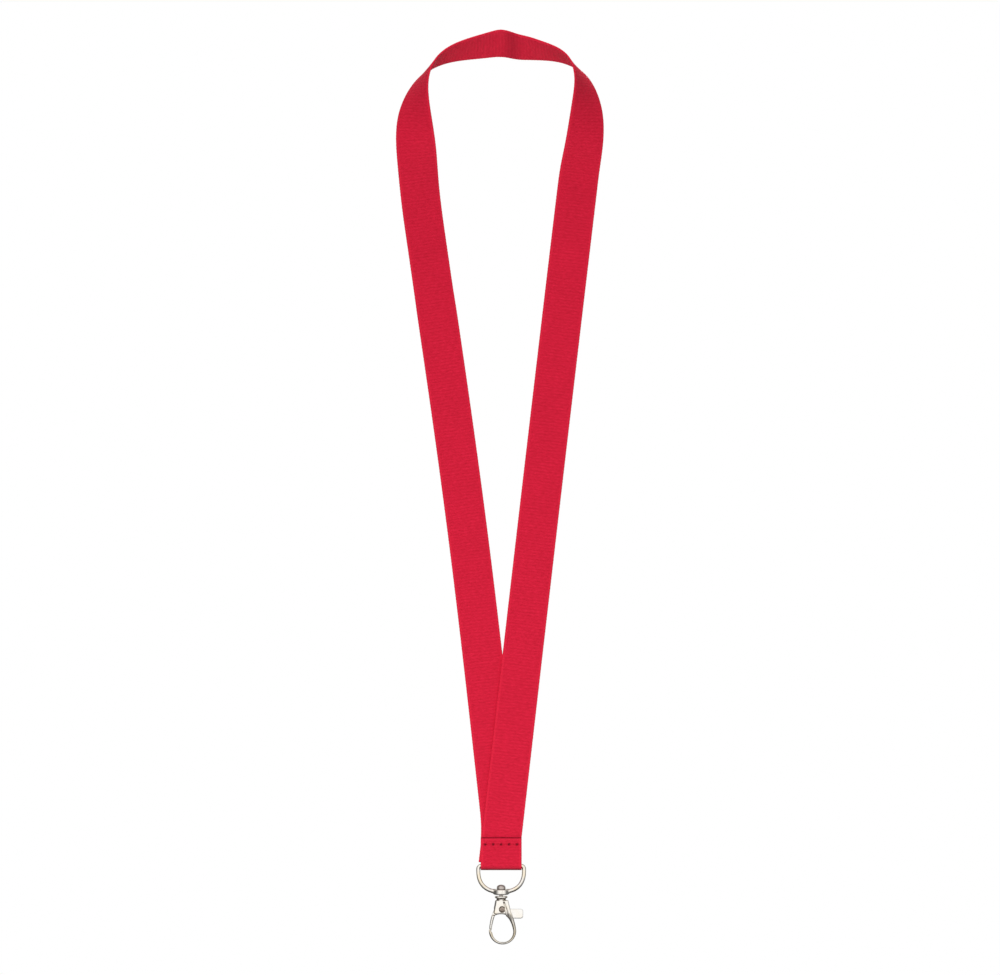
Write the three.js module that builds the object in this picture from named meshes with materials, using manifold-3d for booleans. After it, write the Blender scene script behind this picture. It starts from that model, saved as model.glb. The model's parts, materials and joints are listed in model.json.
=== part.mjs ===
// A neck lanyard: one length of flat woven webbing sewn round a D-ring that
// carries a swivelling trigger snap hook.
//
// Millimetres, +Z up. The strap hangs from the middle of its neck section, whose
// centre line is the origin. +X is to the wearer's left as seen from the front,
// and the front of the lanyard faces -Y.

import * as THREE from 'three';
import { mergeVertices } from 'three/addons/utils/BufferGeometryUtils.js';
import Module from 'manifold-3d';

const wasm = await Module();
wasm.setup();

// ---------------------------------------------------------------- dimensions

// Webbing
const STRAP_WIDTH = 20;
const STRAP_THICKNESS = 0.8;
const LAYER_PITCH = 1.1;          // sewn layers, centre to centre
const NECK_TILT = 38;             // degrees that the neck section leans forward
const NECK_STEP = 3;              // station spacing where the strap bends
const LEG_STEP = 15;              // station spacing where it is straight
const NECK_LENGTH = 132;          // the bent length on each side

// The strap's route on each side, from the middle of the neck to the tab. Each
// row is [distance along the strap, half span, degrees]: the strap turns by that
// angle in a smooth bump centred there. A bend curls it across its thickness, a
// twist turns it about its length and a sway leans it within its own plane.
const NECK_CREASE = [0, 9, 29];
const LEFT_LEG = {
  side: -1,
  length: 433.5,
  bends: [NECK_CREASE, [36, 28, 56.7], [68, 46, 56.4], [103, 31, -32.9]],
  twists: [[14, 31, 21.3], [62, 50, 103.1], [164, 15, -9.6]],
  sways: [[270, 150, -2.1], [422, 11, -6.1]],
};
const RIGHT_LEG = {
  side: 1,
  length: 445.1,
  bends: [NECK_CREASE, [39, 23, 67.3], [74, 44, 51.2], [97, 14, -37.1]],
  twists: [[16, 18, 17.4], [54, 40, 77.6], [93, 28, 18.1]],
  sways: [[270, 150, -0.2]],
};
const CLOSING_START = 150;        // each leg closes on its end from here on

// Sewn tab, where the left leg folds round the ring's bar and the right leg ends
const TAB_X = 0.2;
const FOLD_TOP_Z = -400;          // the fold starts to open out here
const FLAP_EDGE_Z = -397;         // cut edge of the folded-up flap
const RIGHT_END = [-1.17, 0, -410.7];
const RIGHT_CUT_Z = -409.3;       // its end is cut level, just above the bar
const STITCH_Z = -400.3;
const STITCH_COUNT = 5;
const STITCH_PITCH = 3.95;
const HOLE_RADIUS = 0.5;
const THREAD_RADIUS = 0.16;
const THREAD_STRAND = 0.2;        // each strand's distance from its hole's axis
const THREAD_GAP = 0.12;
const THREAD_DIP_Y = 0.45;        // how near the middle layer's centre it dips

// D-ring, in a frame on the centre of its straight bar
const BAR_Z = -411.1;
const WIRE_RADIUS = 1.05;
const FOLD_GAP = 0.3;
const RING_HALF_WIDTH = 11.45;
const RING_CORNER = 1.6;
const BOW_TOP_Z = -1.9;
const BOW_DEPTH = 11.1;
const BOW_POWER = 2.5;            // superellipse exponent of the bow
const BOSS_RADIUS = 3.6;
const BOSS_TOP_Z = -11.8;
const BOSS_BOTTOM_Z = -14.5;
const SWIVEL_BORE_RADIUS = 1.0;

// Swivel rivet
const SHANK_RADIUS = 0.9;
const HEAD_RADIUS = 2.2;
const HEAD_HEIGHT = 2.3;
const FOOT_RADIUS = 1.4;
const METAL_GAP = 0.1;

// Hook, in a frame on the centre of its collar's top face
const HOOK_Z = -15.05;            // in the ring's frame
const COLLAR_RADIUS = 3.25;
const COLLAR_HEIGHT = 1.1;
const NECK_RADIUS = 2.3;
const BODY_TOP_Z = -2.1;
const CAVITY_TOP_Z = -3.6;
const BODY_HALF_DEPTH = 2.5;
const BOW_HALF_DEPTH = 1.7;
const CAVITY_HALF_DEPTH = 1.5;
const OUTER_BOW = { x: 0.7, z: -17.4, radius: 6.85 };
const INNER_BOW = { x: 0.8, z: -17.95, radius: 5.2 };
const NOSE_TOP = [-6.1, -16.4];
const NOSE_INNER = [-4.45, -18.3];
const SEAT_HALF_WIDTH = 1.2;      // flat at the bottom of the hook, where a load hangs
const EDGE_BEVEL = 0.35;

// Gate
const PIVOT = [0.5, -6.75];
const HUB_RADIUS = 1.85;
const HUB_BORE_RADIUS = 0.9;
const LEVER_FRONT_Y = 0.1;
const LEVER_BACK_Y = 1.2;
const ARM_HALF_DEPTH = 1.3;
const ARM_TOP_Z = -9.75;          // the arm is full width below the cheeks
const PIN_RADIUS = 0.8;
const PIN_HEAD_RADIUS = 1.4;
const PIN_HEAD_DEPTH = 0.6;
const PIN_PROUD = 0.12;
const SPRING_RADIUS = 1.42;
const SPRING_WIRE_RADIUS = 0.17;
const SPRING_TURNS = 1.6;
const SPRING_FRONT_Y = -1.12;
const SPRING_BACK_Y = -0.26;

// ----------------------------------------------------------------- materials

const material = (color, roughness, metalness) =>
  new THREE.MeshStandardMaterial({ color, roughness, metalness });

const webbing = material(0xc81e3c, 0.75, 0);
const thread = material(0x9a1228, 0.7, 0);
const nickel = material(0xd2cdc2, 0.25, 1);
const steel = material(0xa9a49e, 0.35, 1);

// ------------------------------------------------------------------- helpers

function toSolid(geometry) {
  const bare = geometry.clone();
  bare.deleteAttribute('normal');
  bare.deleteAttribute('uv');
  const merged = mergeVertices(bare, 1e-4);
  return new wasm.Manifold(new wasm.Mesh({
    numProp: 3,
    vertProperties: new Float32Array(merged.attributes.position.array),
    triVerts: new Uint32Array(merged.index.array),
  }));
}

function toGeometry(solid) {
  const mesh = solid.getMesh();
  const geometry = new THREE.BufferGeometry();
  geometry.setAttribute('position', new THREE.BufferAttribute(mesh.vertProperties, 3));
  geometry.setIndex(new THREE.BufferAttribute(mesh.triVerts, 1));
  return geometry;
}

function part(name, geometry, look) {
  const mesh = new THREE.Mesh(geometry, look);
  mesh.name = name;
  return mesh;
}

function disc(radius, sides) {
  const shape = new THREE.Shape();
  for (let i = 0; i < sides; i += 1) {
    const angle = (2 * Math.PI * i) / sides;
    const x = radius * Math.cos(angle);
    const y = radius * Math.sin(angle);
    if (i === 0) shape.moveTo(x, y);
    else shape.lineTo(x, y);
  }
  return shape;
}

function tube(path, radius, steps, sides) {
  return new THREE.ExtrudeGeometry(disc(radius, sides), { extrudePath: path, steps });
}

// An outline drawn in X and Z becomes a plate between two Y values.
function plate(outline, frontY, backY, bevel = 0, curveSegments = 10) {
  const geometry = new THREE.ExtrudeGeometry(outline, {
    depth: backY - frontY - 2 * bevel,
    curveSegments,
    bevelEnabled: bevel > 0,
    bevelThickness: bevel,
    bevelSize: bevel,
    bevelOffset: -bevel,
    bevelSegments: 2,
  });
  geometry.rotateX(Math.PI / 2);
  geometry.translate(0, backY - bevel, 0);
  return geometry;
}

function outlineOf(points) {
  return new THREE.Shape(points.map(([x, z]) => new THREE.Vector2(x, z)));
}

// A cylinder along Y through (x, z).
function yCylinder(x, z, radius, frontY, backY, sides = 24) {
  const geometry = new THREE.CylinderGeometry(radius, radius, backY - frontY, sides);
  geometry.translate(x, (frontY + backY) / 2, z);
  return geometry;
}

// A solid of revolution about Z from [radius, z] pairs that start and end on the axis.
function turned(profile, sides = 28) {
  const points = profile.map(([radius, z]) => new THREE.Vector2(radius, z));
  const geometry = new THREE.LatheGeometry(points, sides);
  geometry.rotateX(Math.PI / 2);
  return geometry;
}

// --------------------------------------------------------------- strap route

const radians = THREE.MathUtils.degToRad;

// The rate of turn, in radians per millimetre, of a list of bumps at distance s.
function turnRate(bumps, s) {
  let rate = 0;
  for (const [centre, halfSpan, degrees] of bumps) {
    const u = (s - centre) / halfSpan;
    if (Math.abs(u) < 1) {
      rate += (radians(degrees) * (1 + Math.cos(Math.PI * u))) / (2 * halfSpan);
    }
  }
  return rate;
}

// Walk one side of the strap from the middle of the neck. The strap's direction
// and its inner face's normal turn together, so its width is never stretched.
function walkLeg(leg, wanted) {
  const step = 0.5;
  const place = new THREE.Vector3();
  const along = new THREE.Vector3(1, 0, 0);
  const tilt = radians(NECK_TILT);
  const inner = new THREE.Vector3(0, -Math.sin(tilt), -Math.cos(tilt));
  const stations = [];
  let s = 0;
  for (const target of wanted) {
    while (s < target - 1e-9) {
      const ds = Math.min(step, target - s);
      const middle = s + ds / 2;
      const across = new THREE.Vector3().crossVectors(along, inner);
      const turn = new THREE.Vector3()
        .addScaledVector(across, turnRate(leg.bends, middle))
        .addScaledVector(along, turnRate(leg.twists, middle))
        .addScaledVector(inner, turnRate(leg.sways, middle));
      const angle = turn.length() * ds;
      const heading = along.clone();
      if (angle > 0) {
        turn.normalize();
        heading.applyAxisAngle(turn, angle / 2);
        along.applyAxisAngle(turn, angle).normalize();
        inner.applyAxisAngle(turn, angle).normalize();
      }
      place.addScaledVector(heading, ds);
      s += ds;
    }
    stations.push({ s, place: place.clone(), along: along.clone(), inner: inner.clone() });
  }
  return stations;
}

// Stations of one leg, mirrored to its side and closed onto its end point.
function legStations(leg, endPoint) {
  const wanted = [];
  for (let s = 0; s < NECK_LENGTH; s += NECK_STEP) wanted.push(s);
  const legSteps = Math.ceil((leg.length - NECK_LENGTH) / LEG_STEP);
  for (let i = 0; i <= legSteps; i += 1) {
    wanted.push(NECK_LENGTH + ((leg.length - NECK_LENGTH) * i) / legSteps);
  }
  const stations = walkLeg(leg, wanted);
  for (const station of stations) {
    station.place.x *= leg.side;
    station.along.x *= leg.side;
    station.inner.x *= leg.side;
  }
  const miss = endPoint.clone().sub(stations[stations.length - 1].place);
  for (const station of stations) {
    const share = (station.s - CLOSING_START) / (leg.length - CLOSING_START);
    station.place.addScaledVector(miss, Math.max(0, share));
  }
  return stations;
}

// Distance of the fold's two layers from the bar's plane, at a height in the tab.
function layerOffset(z) {
  const atBar = WIRE_RADIUS + FOLD_GAP + STRAP_THICKNESS / 2;
  const share = THREE.MathUtils.smoothstep(-z, -FOLD_TOP_Z, -BAR_Z);
  return THREE.MathUtils.lerp(LAYER_PITCH, atBar, share);
}

// The fold: down behind the bar, round under it and up in front to the cut edge.
function foldStations() {
  const wallSteps = 6;
  const wrapSteps = 10;
  const radius = layerOffset(BAR_Z);
  const points = [];
  for (let i = 1; i < wallSteps; i += 1) {
    const z = THREE.MathUtils.lerp(FOLD_TOP_Z, BAR_Z, i / wallSteps);
    points.push([layerOffset(z), z]);
  }
  for (let i = 0; i <= wrapSteps; i += 1) {
    const angle = (Math.PI * i) / wrapSteps;
    points.push([radius * Math.cos(angle), BAR_Z - radius * Math.sin(angle)]);
  }
  for (let i = 1; i <= wallSteps; i += 1) {
    const z = THREE.MathUtils.lerp(BAR_Z, FOLD_TOP_Z, i / wallSteps);
    points.push([-layerOffset(z), z]);
  }
  points.push([-LAYER_PITCH, FLAP_EDGE_Z]);
  const across = new THREE.Vector3(1, 0, 0);
  return points.map(([y, z], i) => {
    const [y0, z0] = points[Math.max(0, i - 1)];
    const [y1, z1] = points[Math.min(points.length - 1, i + 1)];
    const along = new THREE.Vector3(0, y1 - y0, z1 - z0).normalize();
    const inner = new THREE.Vector3().crossVectors(across, along);
    return { place: new THREE.Vector3(TAB_X, y, z), along, inner };
  });
}

// The whole strap, from the right leg's end up round the neck to the flap's edge.
function strapStations() {
  const leftEnd = new THREE.Vector3(TAB_X, LAYER_PITCH, FOLD_TOP_Z);
  const rightEnd = new THREE.Vector3(...RIGHT_END);
  const right = legStations(RIGHT_LEG, rightEnd).reverse();
  for (const station of right) station.along.negate();
  const left = legStations(LEFT_LEG, leftEnd).slice(1);
  return [...right, ...left, ...foldStations()];
}

// A curve that hands ExtrudeGeometry the stations and their frames as they are.
class StationCurve extends THREE.Curve {
  constructor(stations) {
    super();
    this.stations = stations;
  }

  getPoint(t, target = new THREE.Vector3()) {
    const index = Math.round(t * (this.stations.length - 1));
    return target.copy(this.stations[index].place);
  }

  getPointAt(u, target) {
    return this.getPoint(u, target);
  }

  computeFrenetFrames() {
    const tangents = this.stations.map((station) => station.along);
    const normals = this.stations.map((station) => station.inner);
    const binormals = this.stations.map((station) =>
      new THREE.Vector3().crossVectors(station.along, station.inner));
    return { tangents, normals, binormals };
  }
}

// -------------------------------------------------------------- strap pieces

function stitchPositions() {
  const first = TAB_X - (STITCH_PITCH * (STITCH_COUNT - 1)) / 2;
  return Array.from({ length: STITCH_COUNT }, (_, i) => first + i * STITCH_PITCH);
}

function makeStrap() {
  const halfThickness = STRAP_THICKNESS / 2;
  const halfWidth = STRAP_WIDTH / 2;
  const section = outlineOf([
    [-halfThickness, -halfWidth],
    [halfThickness, -halfWidth],
    [halfThickness, halfWidth],
    [-halfThickness, halfWidth],
  ]);
  const stations = strapStations();
  let solid = toSolid(new THREE.ExtrudeGeometry(section, {
    extrudePath: new StationCurve(stations),
    steps: stations.length - 1,
  }));
  const reach = 2 * LAYER_PITCH;
  for (const x of stitchPositions()) {
    solid = solid.subtract(toSolid(yCylinder(x, STITCH_Z, HOLE_RADIUS, -reach, reach, 8)));
  }
  const cutHeight = 2.8;
  const offcut = new THREE.BoxGeometry(2 * STRAP_WIDTH, LAYER_PITCH, cutHeight);
  offcut.translate(0, 0, RIGHT_CUT_Z - cutHeight / 2);
  solid = solid.subtract(toSolid(offcut));
  return part('strap_webbing', toGeometry(solid), webbing);
}

// One thread of the row: it lies on the outside and dips into every hole.
function makeThread(name, face) {
  const surface = LAYER_PITCH + STRAP_THICKNESS / 2;
  const outside = face * (surface + THREAD_GAP + THREAD_RADIUS);
  const inside = face * THREAD_DIP_Y;
  const wall = face * (surface - STRAP_THICKNESS / 2);
  const holes = stitchPositions();
  const tail = STITCH_PITCH / 3;
  const points = [[holes[0] - tail, outside]];
  for (const x of holes) {
    points.push([x - 3 * THREAD_STRAND, outside]);
    points.push([x - THREAD_STRAND, wall]);
    points.push([x - THREAD_STRAND, inside + face * THREAD_STRAND]);
    points.push([x, inside]);
    points.push([x + THREAD_STRAND, inside + face * THREAD_STRAND]);
    points.push([x + THREAD_STRAND, wall]);
    points.push([x + 3 * THREAD_STRAND, outside]);
  }
  points.push([holes[STITCH_COUNT - 1] + tail, outside]);
  const path = new THREE.CatmullRomCurve3(
    points.map(([x, y]) => new THREE.Vector3(x, y, STITCH_Z)), false, 'centripetal');
  return part(name, tube(path, THREAD_RADIUS, 96, 8), thread);
}

// ------------------------------------------------------------- ring and rivet

// From beside the swivel up one side, along the bar and down the other side.
function ringPath() {
  const points = [];
  const half = [];
  const bowSteps = 18;
  for (let i = 0; i <= bowSteps; i += 1) {
    const angle = (Math.PI / 2) * (1 - i / bowSteps);
    const x = RING_HALF_WIDTH * Math.cos(angle) ** (2 / BOW_POWER);
    const z = BOW_TOP_Z - BOW_DEPTH * Math.sin(angle) ** (2 / BOW_POWER);
    half.push([Math.max(x, METAL_GAP), z]);
  }
  const cornerSteps = 4;
  for (let i = 1; i <= cornerSteps; i += 1) {
    const angle = (Math.PI / 2) * (i / cornerSteps);
    const x = RING_HALF_WIDTH - RING_CORNER * (1 - Math.cos(angle));
    half.push([x, RING_CORNER * (Math.sin(angle) - 1)]);
  }
  for (const [x, z] of half) points.push(new THREE.Vector3(x, 0, z));
  for (const [x, z] of half.reverse()) points.push(new THREE.Vector3(-x, 0, z));
  return new THREE.CatmullRomCurve3(points, false, 'centripetal');
}

function makeRing() {
  const edge = 0.4;
  const boss = turned([
    [0, BOSS_BOTTOM_Z],
    [BOSS_RADIUS - edge, BOSS_BOTTOM_Z],
    [BOSS_RADIUS, BOSS_BOTTOM_Z + edge],
    [BOSS_RADIUS, BOSS_TOP_Z - 2 * edge],
    [BOSS_RADIUS - 2 * edge, BOSS_TOP_Z],
    [0, BOSS_TOP_Z],
  ]);
  const overrun = 2;
  const bore = turned([
    [0, BOSS_BOTTOM_Z - overrun],
    [SWIVEL_BORE_RADIUS, BOSS_BOTTOM_Z - overrun],
    [SWIVEL_BORE_RADIUS, BOSS_TOP_Z + overrun],
    [0, BOSS_TOP_Z + overrun],
  ]);
  const solid = toSolid(tube(ringPath(), WIRE_RADIUS, 80, 10))
    .add(toSolid(boss))
    .subtract(toSolid(bore));
  return part('d_ring', toGeometry(solid), nickel);
}

// The dome head rests on the boss and the foot is spread under the hook's crown.
function makeSwivelRivet() {
  const headBase = BOSS_TOP_Z + METAL_GAP;
  const sideHeight = 0.9;
  const domeHeight = HEAD_HEIGHT - sideHeight;
  const footTop = HOOK_Z + CAVITY_TOP_Z - METAL_GAP;
  const footBottom = footTop - 0.7;
  const profile = [
    [0, footBottom],
    [FOOT_RADIUS, footBottom],
    [FOOT_RADIUS, footTop],
    [SHANK_RADIUS, footTop],
    [SHANK_RADIUS, headBase],
    [HEAD_RADIUS, headBase],
  ];
  const domeSteps = 6;
  for (let i = 0; i < domeSteps; i += 1) {
    const angle = (Math.PI / 2) * (i / domeSteps);
    const z = headBase + sideHeight + domeHeight * Math.sin(angle);
    profile.push([HEAD_RADIUS * Math.cos(angle), z]);
  }
  profile.push([0, headBase + HEAD_HEIGHT]);
  return part('swivel_rivet', turned(profile, 24), steel);
}

// ---------------------------------------------------------------------- hook

// Lower edge of the body, which is the top of the hook's opening.
function bodyLowerEdge(shape) {
  shape.quadraticCurveTo(1.9, -9.0, -0.8, -9.15);
  shape.lineTo(-2.85, -9.4);
  shape.lineTo(-4.1, -8.3);
  shape.lineTo(-2.95, BODY_TOP_Z);
}

function hookOutline() {
  const shape = new THREE.Shape();
  shape.moveTo(-2.95, BODY_TOP_Z);
  shape.lineTo(3.55, BODY_TOP_Z);
  shape.lineTo(4.85, -7.85);
  shape.quadraticCurveTo(7.2, -13.0, OUTER_BOW.x + OUTER_BOW.radius, OUTER_BOW.z);
  shape.absarc(OUTER_BOW.x, OUTER_BOW.z, OUTER_BOW.radius, 0, -Math.PI, true);
  shape.lineTo(...NOSE_TOP);
  shape.lineTo(...NOSE_INNER);
  const left = Math.PI + radians(8);
  const right = 2 * Math.PI + radians(6);
  const bottom = 1.5 * Math.PI;
  const seat = Math.asin(SEAT_HALF_WIDTH / INNER_BOW.radius);
  shape.absarc(INNER_BOW.x, INNER_BOW.z, INNER_BOW.radius, left, bottom - seat, false);
  shape.absarc(INNER_BOW.x, INNER_BOW.z, INNER_BOW.radius, bottom + seat, right, false);
  shape.quadraticCurveTo(5.4, -13.8, 3.6, -11.3);
  bodyLowerEdge(shape);
  return shape;
}

function bodyOutline() {
  const shape = new THREE.Shape();
  shape.moveTo(-2.95, BODY_TOP_Z);
  shape.lineTo(3.55, BODY_TOP_Z);
  shape.lineTo(4.85, -7.85);
  shape.lineTo(5.5, -9.6);
  shape.lineTo(3.6, -11.3);
  bodyLowerEdge(shape);
  return shape;
}

function collarGeometry() {
  const edge = 0.25;
  const sunk = 0.5;
  return turned([
    [0, BODY_TOP_Z - sunk],
    [NECK_RADIUS, BODY_TOP_Z - sunk],
    [NECK_RADIUS, -COLLAR_HEIGHT],
    [COLLAR_RADIUS - edge, -COLLAR_HEIGHT],
    [COLLAR_RADIUS, -COLLAR_HEIGHT + edge],
    [COLLAR_RADIUS, -edge],
    [COLLAR_RADIUS - edge, 0],
    [0, 0],
  ]);
}

// Room between the cheeks for the hub, the spring and the arm's root.
function cavityGeometry() {
  const room = outlineOf([
    [-2.2, CAVITY_TOP_Z],
    [2.7, CAVITY_TOP_Z],
    [3.0, -8.0],
    [1.6, -11.5],
    [-6.5, -11.5],
    [-6.5, -6.9],
    [-2.2, -6.2],
  ]);
  return plate(room, -CAVITY_HALF_DEPTH, CAVITY_HALF_DEPTH);
}

// The slot behind the front rim that the lever's neck and tab swing in.
function leverSlotGeometry() {
  const slot = outlineOf([
    [2.0, CAVITY_TOP_Z],
    [9.0, CAVITY_TOP_Z],
    [9.0, -12.0],
    [4.6, -12.0],
    [1.4, -10.2],
  ]);
  return plate(slot, LEVER_FRONT_Y - 0.4, CAVITY_HALF_DEPTH);
}

// The slanting valley that parts the cheek from the rounded rim.
function valleyGeometry(face) {
  const valley = outlineOf([
    [1.1, -2.9],
    [1.6, -2.8],
    [3.3, -7.6],
    [3.9, -12.5],
    [2.0, -12.5],
    [2.5, -8.2],
  ]);
  const depth = 0.55;
  const near = Math.min(face * (BODY_HALF_DEPTH - depth), face * 2 * BODY_HALF_DEPTH);
  const far = Math.max(face * (BODY_HALF_DEPTH - depth), face * 2 * BODY_HALF_DEPTH);
  return plate(valley, near, far);
}

function makeHookBody() {
  const [px, pz] = PIVOT;
  const depth = 2 * BODY_HALF_DEPTH;
  const headRoom = PIN_HEAD_RADIUS + METAL_GAP;
  const floorY = BODY_HALF_DEPTH - PIN_HEAD_DEPTH;
  const shankBore = turned([
    [0, -depth],
    [SWIVEL_BORE_RADIUS, -depth],
    [SWIVEL_BORE_RADIUS, 1],
    [0, 1],
  ]);
  const footRoom = turned([
    [0, CAVITY_TOP_Z - 1.1],
    [FOOT_RADIUS + 0.3, CAVITY_TOP_Z - 1.1],
    [FOOT_RADIUS + 0.3, CAVITY_TOP_Z],
    [0, CAVITY_TOP_Z],
  ]);
  const solid = toSolid(plate(hookOutline(), -BOW_HALF_DEPTH, BOW_HALF_DEPTH, EDGE_BEVEL))
    .add(toSolid(plate(bodyOutline(), -BODY_HALF_DEPTH, BODY_HALF_DEPTH, EDGE_BEVEL, 6)))
    .add(toSolid(collarGeometry()))
    .subtract(toSolid(cavityGeometry()))
    .subtract(toSolid(leverSlotGeometry()))
    .subtract(toSolid(valleyGeometry(-1)))
    .subtract(toSolid(valleyGeometry(1)))
    .subtract(toSolid(shankBore))
    .subtract(toSolid(footRoom))
    .subtract(toSolid(yCylinder(px, pz, PIN_RADIUS + METAL_GAP, -depth, depth)))
    .subtract(toSolid(yCylinder(px, pz, headRoom, floorY, depth)))
    .subtract(toSolid(yCylinder(px, pz, headRoom, -depth, -floorY)));
  return part('hook_body', toGeometry(solid), nickel);
}

// ---------------------------------------------------------------------- gate

function armOutline(topZ) {
  const shape = new THREE.Shape();
  const outerTop = topZ > -9 ? [-3.9, -7.5] : [-4.75, topZ];
  const innerTop = topZ > -9 ? [-1.6, -8.2] : [-3.1, topZ];
  shape.moveTo(...outerTop);
  shape.quadraticCurveTo(-5.75, -13.0, -5.87, -16.2);
  shape.lineTo(-4.75, -17.5);
  shape.quadraticCurveTo(-4.4, -13.5, ...innerTop);
  return shape;
}

// Neck and thumb tab, to the right of the hub.
function tabOutline() {
  const shape = new THREE.Shape();
  const corner = 1.3;
  const [right, top, bottom] = [11.0, -6.55, -11.35];
  shape.moveTo(0.5, -5.1);
  shape.lineTo(2.3, -5.9);
  shape.lineTo(5.2, top);
  shape.lineTo(right - corner, top);
  shape.absarc(right - corner, top - corner, corner, Math.PI / 2, 0, true);
  shape.absarc(right - corner, bottom + corner, corner, 0, -Math.PI / 2, true);
  shape.lineTo(5.6, bottom);
  shape.lineTo(1.6, -8.2);
  return shape;
}

function makeGateLever() {
  const [px, pz] = PIVOT;
  const bevel = 0.25;
  const hub = yCylinder(px, pz, HUB_RADIUS, LEVER_FRONT_Y, LEVER_BACK_Y);
  const web = outlineOf([[0.5, -5.1], [-3.9, -7.5], [-4.75, -9.9], [-3.1, -9.9], [0.5, -8.4]]);
  const solid = toSolid(hub)
    .add(toSolid(plate(web, LEVER_FRONT_Y, LEVER_BACK_Y)))
    .add(toSolid(plate(tabOutline(), LEVER_FRONT_Y, LEVER_BACK_Y, bevel, 5)))
    .add(toSolid(plate(armOutline(ARM_TOP_Z), -ARM_HALF_DEPTH, ARM_HALF_DEPTH, bevel, 6)))
    .subtract(toSolid(yCylinder(px, pz, HUB_BORE_RADIUS, -5, 5)));
  return part('gate_lever', toGeometry(solid), nickel);
}

// A stepped rivet: both heads lie in the cheeks' counterbores, just proud of them.
function makeGateRivet() {
  const face = BODY_HALF_DEPTH + PIN_PROUD;
  const step = BODY_HALF_DEPTH - PIN_HEAD_DEPTH + METAL_GAP;
  const edge = 0.15;
  const geometry = turned([
    [0, -face],
    [PIN_HEAD_RADIUS - 2 * edge, -face],
    [PIN_HEAD_RADIUS, -face + edge],
    [PIN_HEAD_RADIUS, -step],
    [PIN_RADIUS, -step],
    [PIN_RADIUS, step],
    [PIN_HEAD_RADIUS, step],
    [PIN_HEAD_RADIUS, face - edge],
    [PIN_HEAD_RADIUS - 2 * edge, face],
    [0, face],
  ], 20);
  geometry.rotateX(-Math.PI / 2);
  geometry.translate(PIVOT[0], 0, PIVOT[1]);
  return part('gate_rivet', geometry, steel);
}

// A torsion spring round the rivet, one leg on the crown and one on the arm's web.
function makeGateSpring() {
  const [px, pz] = PIVOT;
  const start = radians(60);
  const sweep = 2 * Math.PI * SPRING_TURNS;
  const coilSteps = 26;
  const legLength = 1.1;
  const at = (angle, radius, y) => new THREE.Vector3(
    px + radius * Math.cos(angle), y, pz + radius * Math.sin(angle));
  const legEnd = (angle, y, direction) => {
    const end = at(angle, SPRING_RADIUS, y);
    end.x -= direction * legLength * Math.sin(angle);
    end.z += direction * legLength * Math.cos(angle);
    return end;
  };
  const points = [legEnd(start, SPRING_FRONT_Y, -1)];
  for (let i = 0; i <= coilSteps; i += 1) {
    const share = i / coilSteps;
    const y = THREE.MathUtils.lerp(SPRING_FRONT_Y, SPRING_BACK_Y, share);
    points.push(at(start + sweep * share, SPRING_RADIUS, y));
  }
  points.push(legEnd(start + sweep, SPRING_BACK_Y, 1));
  const path = new THREE.CatmullRomCurve3(points, false, 'centripetal');
  return part('gate_spring', tube(path, SPRING_WIRE_RADIUS, 56, 6), steel);
}

// ------------------------------------------------------------------ assembly

const gate = new THREE.Group();
gate.add(makeGateLever());

const hook = new THREE.Group();
hook.position.set(0, 0, HOOK_Z);
hook.add(makeHookBody(), makeGateRivet(), makeGateSpring(), gate);

const ring = new THREE.Group();
ring.position.set(TAB_X, 0, BAR_Z);
ring.add(makeRing(), makeSwivelRivet(), hook);

const lanyard = new THREE.Group();
lanyard.add(
  makeStrap(),
  makeThread('needle_thread', -1),
  makeThread('bobbin_thread', 1),
  ring,
);

export default lanyard;
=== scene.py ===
"""The looks of a neck lanyard: ribbed red webbing, its stitches and a plated swivel snap hook.

Shapes are drawn in millimetres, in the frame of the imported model, and become metres
in to_object(). The webbing follows the same route as its CAD solid.
"""

import json
import math
from types import SimpleNamespace

import bpy
import numpy as np
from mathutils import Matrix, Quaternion, Vector


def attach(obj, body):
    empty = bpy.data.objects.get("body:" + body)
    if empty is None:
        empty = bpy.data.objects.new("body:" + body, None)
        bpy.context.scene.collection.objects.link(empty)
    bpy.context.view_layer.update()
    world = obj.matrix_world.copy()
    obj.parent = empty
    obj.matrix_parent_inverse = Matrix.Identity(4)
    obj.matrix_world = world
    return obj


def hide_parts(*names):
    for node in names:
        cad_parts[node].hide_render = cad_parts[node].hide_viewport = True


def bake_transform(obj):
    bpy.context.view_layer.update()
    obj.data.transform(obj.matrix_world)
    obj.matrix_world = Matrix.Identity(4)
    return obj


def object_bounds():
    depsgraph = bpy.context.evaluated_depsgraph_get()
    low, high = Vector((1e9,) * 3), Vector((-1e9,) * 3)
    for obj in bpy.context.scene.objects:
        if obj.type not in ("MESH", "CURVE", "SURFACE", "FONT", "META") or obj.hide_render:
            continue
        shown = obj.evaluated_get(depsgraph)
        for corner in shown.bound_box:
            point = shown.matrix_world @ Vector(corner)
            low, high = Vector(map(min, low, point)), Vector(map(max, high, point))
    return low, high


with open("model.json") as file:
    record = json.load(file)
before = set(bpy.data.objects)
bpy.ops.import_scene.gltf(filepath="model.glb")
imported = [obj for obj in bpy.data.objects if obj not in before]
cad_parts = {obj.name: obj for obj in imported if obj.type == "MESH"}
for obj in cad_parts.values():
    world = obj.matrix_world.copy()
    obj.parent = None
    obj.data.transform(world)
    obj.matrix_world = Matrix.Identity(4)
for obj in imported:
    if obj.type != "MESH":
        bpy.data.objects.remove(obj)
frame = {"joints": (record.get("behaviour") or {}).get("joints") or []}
CAD_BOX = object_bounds()
CAD_MIDDLE = (CAD_BOX[0] + CAD_BOX[1]) / 2
MM = 0.001

# ---------------- dimensions

JOINT_AT = {j["name"]: [c / MM for c in j["pos_m"]] for j in frame["joints"]}
TAB_X, _, BAR_Z = JOINT_AT["ring_swing"]

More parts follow.
